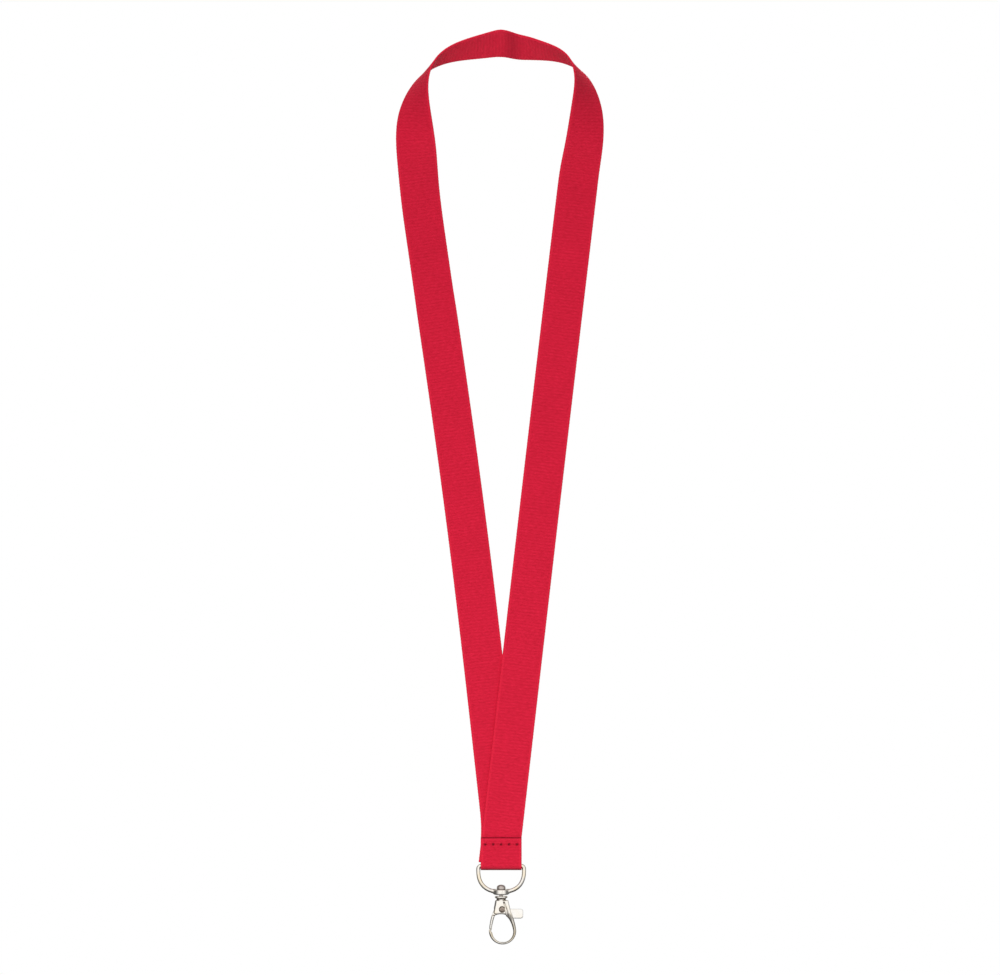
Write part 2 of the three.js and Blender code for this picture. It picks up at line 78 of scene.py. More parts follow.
# Webbing
STRAP_WIDTH = 20.0
STRAP_HALF_THICKNESS = 0.4
CREST_HALF_THICKNESS = 0.44
GROOVE_DEPTH = 0.075
SELVEDGE_ROUND = 0.3
SELVEDGE_BAND = 1.2
END_MELT_AND_SHADOW = 0.3
# Half width of the painted shade band across the bottom of the fold
FOLD_SHADE_REACH = 2.5
TAB_SPREAD = 0.028
CREASE_RIDGE = (0.35, 0.0, 4.0)    # height, distance right of the top of the neck, reach
CREASE_VALLEY = (0.6, 9.0, 5.0)
# The crease's painted shade: strength, distance right of the top of the neck, reach
CREASE_SHADE = (0.32, 6.0, 4.0)
RIB_PITCH = 1.57
RIB_PHASES = (0.0, 0.14, 0.36, 0.64, 0.86)
YARN_PITCH = 0.5
LAYER_PITCH = 1.1
NECK_TILT = 38

# Each row is [distance along the strap, half span, degrees], as in the CAD source.
# The bends, the twists and each leg's first sway angle are results of a separate fitting
# program, not chosen by hand. The neck's crease and tilt are given.
NECK_CREASE = [0, 9, 29]
LEFT_LEG = {
    "side": -1,
    "length": 433.5,
    "bends": [NECK_CREASE, [36, 28, 56.7], [68, 46, 56.4], [103, 31, -32.9]],
    "twists": [[14, 31, 21.3], [62, 50, 103.1], [164, 15, -9.6]],
    "sways": [[270, 150, -2.1], [422, 11, -6.1]],
}
RIGHT_LEG = {
    "side": 1,
    "length": 445.1,
    "bends": [NECK_CREASE, [39, 23, 67.3], [74, 44, 51.2], [97, 14, -37.1]],
    "twists": [[16, 18, 17.4], [54, 40, 77.6], [93, 28, 18.1]],
    "sways": [[270, 150, -0.2]],
}
CLOSING_START = 150
WALK_STEP = 0.5

# Sewn tab
FOLD_TOP_Z = -400.0
FLAP_EDGE_Z = -397.0
RIGHT_END = (-1.17, 0.0, -410.7)
RIGHT_CUT_Z = -409.3
RIGHT_CUT_SHEAR = 14.0  # the length over which the right end is sheared level
FOLD_FROM_FLAP = 16.4   # along the strap, from the flap's edge to the painted shade line at the fold's bottom
FINE_LENGTH = 37.0      # the stretch up from the flap's edge that has the finer mesh
FINE_COLUMNS = 53
COARSE_COLUMNS = 11
STITCH_Z = -400.3
STITCH_COUNT = 5
STITCH_PITCH = 3.95
HOLE_HALF_WIDTH = 0.38
HOLE_HALF_HEIGHT = 0.17
DIMPLE_RADIUS = 0.85
DIMPLE_DEPTH = 0.52
# Reach of the painted shade round each stitch hole
STITCH_SHADE_RADIUS = 0.62
CHANNEL_DEPTH = 0.12    # of the hollow that the row of stitches lies in
CHANNEL_HALF_WIDTH = 0.32
DRILL_REACH = 3.0
THREAD_RADIUS = 0.16

# Ring and its swivel boss, in a frame on the centre of the ring's bar
WIRE_RADIUS = 1.05
FOLD_GAP = 0.3
RING_HALF_WIDTH = 11.45
RING_CORNER = 1.6
BOW_TOP_Z = -1.9
BOW_DEPTH = 11.1
BOW_POWER = 2.5
BOSS_RADIUS = 3.6
BOSS_TOP_Z = -11.8
BOSS_BOTTOM_Z = -14.5
SWIVEL_BORE_RADIUS = 1.0
SHANK_RADIUS = 0.9
HEAD_RADIUS = 2.2
HEAD_HEIGHT = 2.3
FOOT_RADIUS = 1.4
FOOT_HEIGHT = 0.7
FOOT_ROOM = 0.3
METAL_GAP = 0.1

# Hook, in a frame on the centre of its collar's top face
HOOK_Z = -15.05
HOOK_TOP = (TAB_X, 0.0, BAR_Z + HOOK_Z)
BODY_TOP_Z = -2.1
CAVITY_TOP_Z = -3.6
BODY_HALF_DEPTH = 2.5
BOW_HALF_DEPTH = 1.7
CAVITY_HALF_DEPTH = 1.5
FOOT_ROOM_HEIGHT = 1.1
BORE_END_Z = -5.0       # the swivel bore stops in the cavity
OUTER_BOW = ((0.7, -17.4), 6.85)
INNER_BOW = ((0.8, -17.95), 5.2)
SEAT_HALF_WIDTH = 1.2
VALLEY_LINE = [(1.4, -3.1), (2.85, -7.9), (3.15, -12.5)]
VALLEY_DEPTH = 0.62

# Gate
PIVOT = (JOINT_AT["gate_open"][0] - TAB_X, JOINT_AT["gate_open"][2] - HOOK_TOP[2])
HUB_RADIUS = 1.85
HUB_BORE_RADIUS = 0.9
LEVER_FRONT_Y = 0.1
LEVER_BACK_Y = 1.2
ARM_HALF_DEPTH = 1.3
PIN_RADIUS = 0.8
PIN_HEAD_RADIUS = 1.4
PIN_HEAD_DEPTH = 0.6
PIN_PROUD = 0.12
SPRING_RADIUS = 1.42
SPRING_WIRE_RADIUS = 0.17
SPRING_TURNS = 1.6
SPRING_FRONT_Y = -1.12
SPRING_BACK_Y = -0.26

# ---------------- camera

FRAME_WIDTH = 0.5      # metres across the picture, at the lanyard
LENS = 200
SENSOR = 36


def make_camera():
    data = bpy.data.cameras.new("camera")
    data.lens = LENS
    data.sensor_width = SENSOR
    camera = bpy.data.objects.new("camera", data)
    camera.location = (CAD_MIDDLE.x, -FRAME_WIDTH * LENS / SENSOR, CAD_MIDDLE.z)
    camera.rotation_euler = (math.radians(90), 0, 0)
    bpy.context.collection.objects.link(camera)
    bpy.context.scene.camera = camera


# ---------------- materials


class Nodes:
    """A node tree under construction."""

    def __init__(self, tree):
        self.tree = tree

    def node(self, kind, settings=None, **inputs):
        """A node with plain settings, whose inputs are values or other nodes' outputs."""
        made = self.tree.nodes.new(kind)
        for key, value in (settings or {}).items():
            setattr(made, key, value)
        for key, value in inputs.items():
            index = int(key[1:]) if key[0] == "i" and key[1:].isdigit() else key.replace("_", " ")
            if isinstance(value, bpy.types.NodeSocket):
                self.tree.links.new(value, made.inputs[index])
            else:
                made.inputs[index].default_value = value
        return made

    def math(self, operation, first, second=0.0):
        made = self.node("ShaderNodeMath", {"operation": operation}, i0=first, i1=second)
        return made.outputs[0]

    def times(self, first, second):
        return self.math("MULTIPLY", first, second)

    def plus(self, first, second):
        return self.math("ADD", first, second)

    def ramp(self, value, *stops):
        """A colour ramp through (position, colour) stops."""
        made = self.node("ShaderNodeValToRGB", None, Fac=value)
        elements = made.color_ramp.elements
        while len(elements) < len(stops):
            elements.new(0.5)
        for element, (position, colour) in zip(elements, stops):
            element.position = position
            element.color = (*colour, 1.0)
        return made.outputs["Color"]


class Look(Nodes):
    """A material under construction: its node tree and its Principled shader."""

    def __init__(self, name):
        self.material = bpy.data.materials.new(name)
        self.material.use_nodes = True
        super().__init__(self.material.node_tree)
        self.shader = self.tree.nodes["Principled BSDF"]

    def set(self, **values):
        for socket, value in values.items():
            self.shader.inputs[socket.replace("_", " ")].default_value = value

    def feed(self, socket, output):
        self.tree.links.new(output, self.shader.inputs[socket])

    def noise(self, vector, scale, detail=3.0, roughness=0.55):
        made = self.node("ShaderNodeTexNoise", None, Vector=vector, Scale=scale,
                         Detail=detail, Roughness=roughness)
        return made.outputs["Fac"]

    def mix(self, share, first, second, blend="MIX"):
        made = self.node("ShaderNodeMix", {"data_type": "RGBA", "blend_type": blend})
        for index, value in ((0, share), (6, first), (7, second)):
            if isinstance(value, bpy.types.NodeSocket):
                self.tree.links.new(value, made.inputs[index])
            elif index:
                made.inputs[index].default_value = (*value, 1.0)
            else:
                made.inputs[index].default_value = value
        return made.outputs[2]

    def bump(self, height, distance, strength=1.0, normal=None):
        inputs = {"Height": height, "Distance": distance, "Strength": strength}
        if normal is not None:
            inputs["Normal"] = normal
        return self.node("ShaderNodeBump", None, **inputs).outputs["Normal"]

    def place(self):
        return self.node("ShaderNodeTexCoord").outputs["Object"]

    def stored(self, name):
        """A number that add_values() stored on the piece's vertices."""
        return self.node("ShaderNodeAttribute", {"attribute_name": name}).outputs["Fac"]


def humped(look, value):
    """0 at whole numbers and 1 half way between them."""
    from_middle = look.math("ABSOLUTE", look.math("SUBTRACT", look.math("FRACT", value), 0.5))
    squared = look.math("POWER", from_middle, 2.0)
    return look.math("SUBTRACT", 1.0, look.times(squared, 4.0))


def webbing_look(total):
    """Ribbed polyester; total is the distance from one cut end to the other."""
    look = Look("red_webbing")
    uv = look.node("ShaderNodeUVMap", {"uv_map": "weave"}).outputs["UV"]
    split = look.node("ShaderNodeSeparateXYZ", None, Vector=uv)
    across, along = split.outputs["X"], split.outputs["Y"]
    rib = look.math("DIVIDE", along, RIB_PITCH)
    rib_hump = humped(look, rib)
    odd_rib = look.times(look.math("MODULO", look.math("FLOOR", rib), 2.0), 0.5)
    yarn = look.plus(look.math("DIVIDE", across, YARN_PITCH), odd_rib)
    yarn_hump = humped(look, yarn)
    weave = look.times(look.math("POWER", rib_hump, 0.6), yarn_hump)

    dash_at = look.node("ShaderNodeCombineXYZ", None, X=look.times(across, 0.45),
                        Y=look.times(rib, 1.6)).outputs["Vector"]
    dashes = look.noise(dash_at, 1.0, 4.0, 0.7)
    patches = look.noise(look.place(), 70.0, 2.0, 0.5)
    fibres = look.noise(look.place(), 5200.0, 2.0, 0.6)

    # Painted shade and highlight: the weave term darkens the grooves between ribs and yarns and
    # lightens their crests; the dashes and fibres add random tone.
    weave_shade_and_tone = look.times(weave, look.times(dashes, 0.45))
    weave_shade_and_tone = look.plus(weave_shade_and_tone, look.times(dashes, 0.55))
    weave_shade_and_tone = look.plus(weave_shade_and_tone, look.times(fibres, 0.12))
    red = look.ramp(weave_shade_and_tone, (0.18, (0.48, 0.005, 0.023)), (0.46, (0.63, 0.009, 0.038)),
                    (0.75, (0.75, 0.017, 0.058)))
    from_middle = look.math("ABSOLUTE", across)
    # Painted highlight: a lighter band along each selvedge, which is smoother than the ribbed middle.
    selvedge_highlight = look.math("GREATER_THAN", from_middle, STRAP_WIDTH / 2 - SELVEDGE_BAND)
    red = look.mix(look.times(selvedge_highlight, 0.35), red, (0.82, 0.020, 0.055))
    shade = look.ramp(patches, (0.30, (0.95, 0.93, 0.93)), (0.70, (1.0, 1.0, 1.0)))
    red = look.mix(1.0, red, shade, "MULTIPLY")
    # Darker cut ends: the melt of heat-cut polyester, and a painted shadow line at the flap's edge.
    near_end = look.math("MINIMUM", along, look.math("SUBTRACT", total, along))
    melt_and_shadow = look.math("LESS_THAN", near_end, END_MELT_AND_SHADOW)
    red = look.mix(look.times(melt_and_shadow, 0.8), red, (0.10, 0.001, 0.006))
    # Painted shade: a dark band across the bottom of the fold, where the strap turns under the ring's
    # bar.
    from_fold = look.math("ABSOLUTE", look.math("SUBTRACT", along, total - FOLD_FROM_FLAP))
    fold_shade = look.node("ShaderNodeMapRange", {"interpolation_type": "SMOOTHSTEP"}, Value=from_fold,
                       From_Max=FOLD_SHADE_REACH, To_Min=1.0, To_Max=0.0).outputs[0]
    red = look.mix(look.times(fold_shade, 0.95), red, (0.12, 0.001, 0.008))
    # Painted shade: darker round the stitch holes and along the crease at the top of the neck.
    red = look.mix(look.times(look.stored("painted_shade"), 0.9), red, (0.10, 0.001, 0.006))
    look.feed("Base Color", red)

    fine = look.bump(fibres, 0.00002, 0.5)
    look.feed("Normal", look.bump(weave, 0.00005, 0.8, fine))
    look.feed("Roughness", look.plus(0.60, look.times(dashes, 0.22)))
    look.set(Specular_IOR_Level=0.24)
    return look.material


def thread_look():
    look = Look("red_thread")
    place = look.place()
    fibres = look.noise(place, 6000.0, 2.0, 0.6)
    red = look.ramp(fibres, (0.3, (0.44, 0.005, 0.020)), (0.7, (0.64, 0.011, 0.040)))
    # Painted shade on the thread, darker where it goes into the stitch holes.
    red = look.mix(look.times(look.stored("painted_shade"), 0.85), red, (0.10, 0.001, 0.006))
    look.feed("Base Color", red)
    look.feed("Normal", look.bump(fibres, 0.00002, 0.6))
    look.feed("Roughness", look.plus(0.5, look.times(fibres, 0.25)))
    look.set(Specular_IOR_Level=0.3)
    return look.material


def plated_look(name, neutral, warm, roughness, orange_peel=0.6):
    """Nickel plate on a casting: warm patches, painted shade in its hollows, smudges and a slight
    orange peel.
    """
    look = Look(name)
    place = look.place()
    broad = look.noise(place, 160.0, 2.0, 0.5)
    smudge = look.noise(place, 620.0, 4.0, 0.65)
    pits = look.noise(place, 3800.0, 3.0, 0.6)
    scratch_at = look.node("ShaderNodeMapping", None, Vector=place, Rotation=(0.3, 0.5, 0.2),
                           Scale=(1.0, 0.08, 1.0)).outputs["Vector"]
    scratches = look.noise(scratch_at, 5200.0, 2.0, 0.5)
    warmth = look.ramp(broad, (0.42, (0.0, 0.0, 0.0)), (0.66, (1.0, 1.0, 1.0)))
    metal = look.mix(warmth, neutral, warm)
    # Painted shade: brown darkening in the hollows, weighted by how far blurring fills them; the same
    # weight roughens the metal there.
    hollow_shade = look.node("ShaderNodeMapRange", None, Value=look.stored("hollow"),
                        From_Min=0.008, From_Max=0.055).outputs[0]
    hollow_shaded = look.mix(look.times(hollow_shade, 0.85), metal, (0.15, 0.105, 0.08))
    look.feed("Base Color", hollow_shaded)
    rough = look.plus(roughness, look.times(smudge, 0.14))
    look.feed("Roughness", look.plus(rough, look.times(hollow_shade, 0.3)))
    peel = look.bump(smudge, 0.00004, orange_peel)
    fine = look.bump(pits, 0.000008, 0.5, peel)
    look.feed("Normal", look.bump(scratches, 0.000004, 0.35, fine))
    look.set(Metallic=1.0)
    return look.material


def steel_look(name, dark, light, roughness):
    """Bare steel with a fine grain and darker oxide patches."""
    look = Look(name)
    place = look.place()
    patches = look.noise(place, 900.0, 4.0, 0.6)
    grain = look.noise(place, 7000.0, 2.0, 0.5)
    look.feed("Base Color", look.ramp(patches, (0.35, dark), (0.65, light)))
    look.feed("Roughness", look.plus(roughness, look.times(patches, 0.2)))
    look.feed("Normal", look.bump(grain, 0.00001, 0.6, look.bump(patches, 0.00005, 0.7)))
    look.set(Metallic=1.0)
    return look.material


# ---------------- making pieces


def to_object(name, vertices, faces, look, body, node):
    """A mesh piece in metres that stands for a CAD node and rides on its body."""
    mesh = bpy.data.meshes.new(name)
    mesh.from_pydata((np.asarray(vertices) * MM).tolist(), [], faces)
    mesh.validate()
    mesh.shade_smooth()
    mesh.materials.append(look)
    piece = bpy.data.objects.new(name, mesh)
    bpy.context.collection.objects.link(piece)
    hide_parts(node)
    if body:
        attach(piece, body)
    return piece


def add_values(piece, name, values):
    """Stores a number on each vertex, for the piece's material."""
    layer = piece.data.attributes.new(name, "FLOAT", "POINT")
    layer.data.foreach_set("value", np.asarray(values, np.float32))


def smooth_step(value, start, end):
    share = np.clip((value - start) / (end - start), 0, 1)
    return share * share * (3 - 2 * share)


def unit(vectors):
    return vectors / np.linalg.norm(vectors, axis=1)[:, None]


def distances_along(points):
    gaps = np.linalg.norm(np.diff(points, axis=0), axis=1)
    return np.concatenate([[0], np.cumsum(gaps)])


# ---------------- the webbing


def turn_rate(bumps, s):
    """The rate of turn, in radians per millimetre, of a list of bumps at distance s."""
    rate = 0.0
    for centre, half_span, degrees in bumps:
        u = (s - centre) / half_span
        if abs(u) < 1:
            rate += math.radians(degrees) * (1 + math.cos(math.pi * u)) / (2 * half_span)
    return rate


def walk_leg(leg, end_point):
    """Places, directions and inner normals down one leg, closed onto its end point."""
    tilt = math.radians(NECK_TILT)
    place, along = Vector((0, 0, 0)), Vector((1, 0, 0))
    inner = Vector((0, -math.sin(tilt), -math.cos(tilt)))
    stations = [(0.0, place.copy(), along.copy(), inner.copy())]
    s = 0.0
    while s < leg["length"] - 1e-9:
        ds = min(WALK_STEP, leg["length"] - s)
        middle = s + ds / 2
        turn = along.cross(inner) * turn_rate(leg["bends"], middle)
        turn += along * turn_rate(leg["twists"], middle)
        turn += inner * turn_rate(leg["sways"], middle)
        heading = along.copy()
        if turn.length > 0:
            heading.rotate(Quaternion(turn.normalized(), turn.length * ds / 2))
            whole = Quaternion(turn.normalized(), turn.length * ds)
            along.rotate(whole)
            inner.rotate(whole)
        place += heading * ds
        s += ds
        stations.append((s, place.copy(), along.copy(), inner.copy()))
    distances, *vectors = (np.array(column) for column in zip(*stations))
    places, alongs, inners = (vector * [leg["side"], 1, 1] for vector in vectors)
    share = np.maximum(0, (distances - CLOSING_START) / (leg["length"] - CLOSING_START))
    places += share[:, None] * (np.array(end_point) - places[-1])
    return distances, places, alongs, inners


def layer_offset(z):
    """How far the fold's two layers are from the bar's plane, at a height in the tab."""
    at_bar = WIRE_RADIUS + FOLD_GAP + STRAP_HALF_THICKNESS
    return LAYER_PITCH + (at_bar - LAYER_PITCH) * smooth_step(-z, -FOLD_TOP_Z, -BAR_Z)


def fold_path():
    """Down behind the ring's bar, round under it and up in front to the flap's edge."""
    wall = np.linspace(FOLD_TOP_Z, BAR_Z, 45)
    turn = np.linspace(0, math.pi, 25)[1:-1]
    radius = layer_offset(BAR_Z)
    behind = np.stack([layer_offset(wall), wall], axis=1)[1:]
    under = np.stack([radius * np.cos(turn), BAR_Z - radius * np.sin(turn)], axis=1)
    front = np.stack([-layer_offset(wall), wall], axis=1)[::-1]
    flap = np.array([[-LAYER_PITCH, z] for z in np.linspace(FOLD_TOP_Z, FLAP_EDGE_Z, 9)[1:]])
    path = np.concatenate([behind, under, front, flap])
    places = np.column_stack([np.full(len(path), TAB_X), path])
    alongs = unit(np.gradient(places, axis=0))
    return places, alongs, np.cross([1.0, 0.0, 0.0], alongs)


def strap_route():
    """The whole strap from the right leg's end to the flap's edge, with distance along it."""
    left_end = (TAB_X, LAYER_PITCH, FOLD_TOP_Z)
    _, right_places, right_alongs, right_inners = walk_leg(RIGHT_LEG, RIGHT_END)
    _, left_places, left_alongs, left_inners = walk_leg(LEFT_LEG, left_end)
    fold_places, fold_alongs, fold_inners = fold_path()
    places = np.concatenate([right_places[::-1], left_places[1:], fold_places])
    alongs = np.concatenate([-right_alongs[::-1], left_alongs[1:], fold_alongs])
    inners = np.concatenate([right_inners[::-1], left_inners[1:], fold_inners])
    return SimpleNamespace(distance=distances_along(places), places=places, alongs=alongs,
                           inners=inners)


def along_route(route, v):
    """Place, direction, inner normal and crosswise direction at distances v."""
    def at(values):
        return np.stack([np.interp(v, route.distance, values[:, k]) for k in range(3)], axis=1)
    along = unit(at(route.alongs))
    inner = at(route.inners)
    inner = unit(inner - (inner * along).sum(axis=1)[:, None] * along)
    return at(route.places), along, inner, np.cross(along, inner)


def section_loop(columns):
    """(crosswise, face, edge) round the section: face is 1, 0 or -1 through the thickness."""
    flat = STRAP_WIDTH / 2 - SELVEDGE_ROUND
    faces = [(x, 1.0, 0.0) for x in np.linspace(-flat, flat, columns)]
    turn = np.radians([50, 0, -50])
    right = [(flat, math.sin(t), math.cos(t)) for t in turn]
    back = [(x, -1.0, 0.0) for x, _, _ in reversed(faces)]
    left = [(-flat, -math.sin(t), -math.cos(t)) for t in turn]
    return np.array(faces + right + back + left)


def rib_height(v):
    """0 in the groove between two ribs and 1 on a rib's crest."""
    phase = np.mod(v / RIB_PITCH, 1.0)
    return (1 - (2 * phase - 1) ** 2) ** 0.7


def swell(v, shape):
    """A smooth rise across the neck, at a distance to the right of its top."""
    height, centre, reach = shape
    return height * np.exp(-(((RIGHT_LEG["length"] - v - centre) / reach) ** 2))


def strap_rows(route, v, loop):
    """Points of whole rows of the webbing, one row for each distance in v."""
    place, along, inner, across = (part[:, None, :] for part in along_route(route, v))
    total = route.distance[-1]
    v = v[:, None]
    x, face, edge = loop.T[:, None, :]
    number = np.floor(v / RIB_PITCH)
    uneven = 1 + 0.18 * np.sin(number * 2.4) * np.sin(number * 0.71 + 1.0)
    crest = rib_height(v) * uneven
    depth = GROOVE_DEPTH * (1 - 0.45 * smooth_step(np.abs(x), 8.7, 9.2))
    half = CREST_HALF_THICKNESS - depth * (1 - crest)
    end = np.minimum(v, total - v)
    half = half * (0.45 + 0.55 * np.sqrt(np.clip(end / 0.35, 0.0, 1.0)))
    out = SELVEDGE_ROUND - 0.09 * (1 - crest)
    spread = 1 + TAB_SPREAD * smooth_step(v, total - 40, total - 30)
    crosswise = x * spread + edge * out

    wave = 0.10 * np.sin(v / 9.0) * np.sin(x / 4.0 + 0.7)
    wave = wave + 0.16 * np.sin(v / 23.0 + 1.3) * (x / 10)
    cup = 0.10 * np.sin(v / 61.0) * (x / 10) ** 2
    crease = swell(v, CREASE_VALLEY) - swell(v, CREASE_RIDGE)
    free = smooth_step(end, 50, 110)
    lift = face * half + free * (wave + cup) + crease * (0.8 + 0.2 * x / 10)
    wander = 0.10 * np.sin(x / 3.1) * np.sin(v / 13.0)
    wander = wander + 0.05 * np.sin(x * 1.9) * np.sin(number * 1.7)
    wander = wander * smooth_step(end, 0.5, 3.0)
    points = place + crosswise[..., None] * across + lift[..., None] * inner
    return points + wander[..., None] * along


def stitch_xs():
    first = TAB_X - STITCH_PITCH * (STITCH_COUNT - 1) / 2
    return [first + i * STITCH_PITCH for i in range(STITCH_COUNT)]


def painted_shade(points):
    """1 at a stitch hole, falling to 0 round it: the weight of the shade painted round the stitches.
    """
    nearness = np.zeros(points.shape[:-1])
    height = points[..., 2] - STITCH_Z
    for x in stitch_xs():
        away = np.hypot(points[..., 0] - x, height)
        nearness = np.maximum(nearness, np.exp(-((away / STITCH_SHADE_RADIUS) ** 4)))
    return nearness


def press_stitches(points, face):
    """Pull the outer face of the tab's two outer layers in at the stitches."""
    outer = np.broadcast_to(face > 0, points.shape[:2])
    side = np.sign(points[..., 1])
    outside = outer & (np.abs(points[..., 1]) > LAYER_PITCH)
    height = points[..., 2] - STITCH_Z
    pull = CHANNEL_DEPTH * np.exp(-((height / CHANNEL_HALF_WIDTH) ** 2))
    pull = pull * (np.abs(points[..., 0] - TAB_X) < STRAP_WIDTH / 2 - 0.6)
    for x in stitch_xs():
        away = np.hypot(points[..., 0] - x, height / 1.15)
        pull = np.maximum(pull, DIMPLE_DEPTH * np.exp(-((away / DIMPLE_RADIUS) ** 2)))
    points[..., 1] -= side * np.where(outside, pull, 0)
    return points


def level_right_end(points, v):
    """Shear the right leg's last stretch so that its cut end is level."""
    share = smooth_step(RIGHT_CUT_SHEAR - v, 0, RIGHT_CUT_SHEAR)[:, None]
    drop = points[0, :, 2] - RIGHT_CUT_Z
    points[..., 2] -= share * drop[None, :]
    return points


def ring_faces(first, second, count):
    """Quads between two loops of the same count, whose points start at these numbers."""
    step = np.arange(count)
    after = (step + 1) % count
    return np.stack([first + step, second + step, second + after, first + after], axis=1)


def zipper_faces(first, loop_a, second, loop_b):
    """Triangles between two loops with different counts, matched by how far round they are."""
    def shares(loop):
        shape = np.column_stack([loop[:, 0] + loop[:, 2] * SELVEDGE_ROUND, loop[:, 1] * 0.4])
        closed = np.concatenate([shape, shape[:1]])
        reach = distances_along(closed)
        return reach / reach[-1]
    a, b = shares(loop_a), shares(loop_b)
    i = j = 0
    faces = []
    while i < len(loop_a) or j < len(loop_b):
        here = (first + i % len(loop_a), second + j % len(loop_b))
        if j >= len(loop_b) or (i < len(loop_a) and a[i + 1] <= b[j + 1]):
            i += 1
            faces.append((here[0], here[1], first + i % len(loop_a)))
        else:
            j += 1
            faces.append((here[0], here[1], second + j % len(loop_b)))
    return faces


def cap_faces(start, columns, flip):
    """Closes one end: the two faces of the section pair up, column by column."""
    pairs = [(start + i, start + 2 * columns + 2 - i) for i in range(columns)]
    faces = [(a, b, d, c) for (a, c), (b, d) in zip(pairs, pairs[1:])]
    right = [start + columns + k for k in range(3)]
    left = [start + 2 * columns + 3 + k for k in range(3)]
    faces.append((pairs[-1][0], right[0], right[1], right[2], pairs[-1][1]))
    faces.append((pairs[0][1], left[0], left[1], left[2], pairs[0][0]))
    return [tuple(reversed(f)) for f in faces] if flip else faces


def drill_stitch_holes(piece):
    """Cuts the stitch holes through the tab's layers."""
    sides = 20
    vertices, faces = [], []
    for x in stitch_xs():
        base = len(vertices)
        for y in (-DRILL_REACH, DRILL_REACH):
            for k in range(sides):
                angle = 2 * math.pi * k / sides
                place = (x + HOLE_HALF_WIDTH * math.cos(angle), y,
                         STITCH_Z + HOLE_HALF_HEIGHT * math.sin(angle))
                vertices.append([c * MM for c in place])
        faces.append([base + k for k in range(sides)])
        faces.append([base + sides + k for k in reversed(range(sides))])
        for k in range(sides):
            after = (k + 1) % sides
            faces.append([base + after, base + k, base + sides + k, base + sides + after])
    mesh = bpy.data.meshes.new("drills")
    mesh.from_pydata(vertices, [], faces)
    drills = bpy.data.objects.new("drills", mesh)
    bpy.context.collection.objects.link(drills)
    modifier = piece.modifiers.new("holes", "BOOLEAN")
    modifier.operation = "DIFFERENCE"
    modifier.solver = "MANIFOLD"
    modifier.object = drills
    depsgraph = bpy.context.evaluated_depsgraph_get()
    drilled = bpy.data.meshes.new_from_object(piece.evaluated_get(depsgraph), depsgraph=depsgraph)
    piece.modifiers.clear()
    piece.data = drilled
    bpy.data.objects.remove(drills)
    drilled.shade_smooth()


def row_distances(total):
    """Where the strap's mesh has a row: a few on each rib, and more at the cut ends."""
    ribs = np.arange(math.ceil(total / RIB_PITCH) + 1)
    v = (ribs[:, None] + np.array(RIB_PHASES)[None, :]).ravel() * RIB_PITCH
    v = v[(v > 0.4) & (v < total - 0.4)]
    return np.concatenate([[0, 0.1, 0.25], v, [total - 0.25, total - 0.1, total]])


def strap_faces(coarse_rows, coarse_loop, fine_rows, fine_loop):
    """Faces of the whole strap: coarse rows, then fine rows, closed at both ends."""
    a, b = len(coarse_loop), len(fine_loop)
    fine_first = coarse_rows * a
    faces = cap_faces(0, COARSE_COLUMNS, False)
    for row in range(coarse_rows - 1):
        faces.extend(ring_faces(row * a, row * a + a, a).tolist())
    faces.extend(zipper_faces(fine_first - a, coarse_loop, fine_first, fine_loop))
    for row in range(fine_rows - 1):
        faces.extend(ring_faces(fine_first + row * b, fine_first + row * b + b, b).tolist())
    faces.extend(cap_faces(fine_first + (fine_rows - 1) * b, FINE_COLUMNS, True))
    return faces


def add_weave_map(mesh, across, along):
    """Stores each corner's place on the flat strap, in mm, as a UV layer."""
    corners = np.zeros(len(mesh.loops), np.int32)
    mesh.loops.foreach_get("vertex_index", corners)
    layer = mesh.uv_layers.new(name="weave")
    flat = np.stack([across[corners], along[corners]], axis=1)
    layer.data.foreach_set("uv", flat.astype(np.float32).ravel())


def make_webbing(route, look):
    total = route.distance[-1]
    v = row_distances(total)
    coarse, fine = v[v < total - FINE_LENGTH], v[v >= total - FINE_LENGTH]
    coarse_loop, fine_loop = section_loop(COARSE_COLUMNS), section_loop(FINE_COLUMNS)
    coarse_points = level_right_end(strap_rows(route, coarse, coarse_loop), coarse)
    fine_points = press_stitches(strap_rows(route, fine, fine_loop), fine_loop[:, 1])
    vertices = np.concatenate([coarse_points.reshape(-1, 3), fine_points.reshape(-1, 3)])
    faces = strap_faces(len(coarse), coarse_loop, len(fine), fine_loop)
    piece = to_object("webbing_strap", vertices, faces, look, None, "strap_webbing")

    across = [loop[:, 0] + loop[:, 2] * SELVEDGE_ROUND for loop in (coarse_loop, fine_loop)]
    x_of = np.concatenate([np.tile(across[0], len(coarse)), np.tile(across[1], len(fine))])
    v_of = np.concatenate([np.repeat(coarse, len(coarse_loop)), np.repeat(fine, len(fine_loop))])
    add_weave_map(piece.data, x_of, v_of)
    # The stored weight paints shade round the stitch holes and along the neck's crease.
    add_values(piece, "painted_shade", np.maximum(painted_shade(vertices), swell(v_of, CREASE_SHADE)))
    drill_stitch_holes(piece)
    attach(piece, "strap")
    return piece


# ---------------- thread and wire


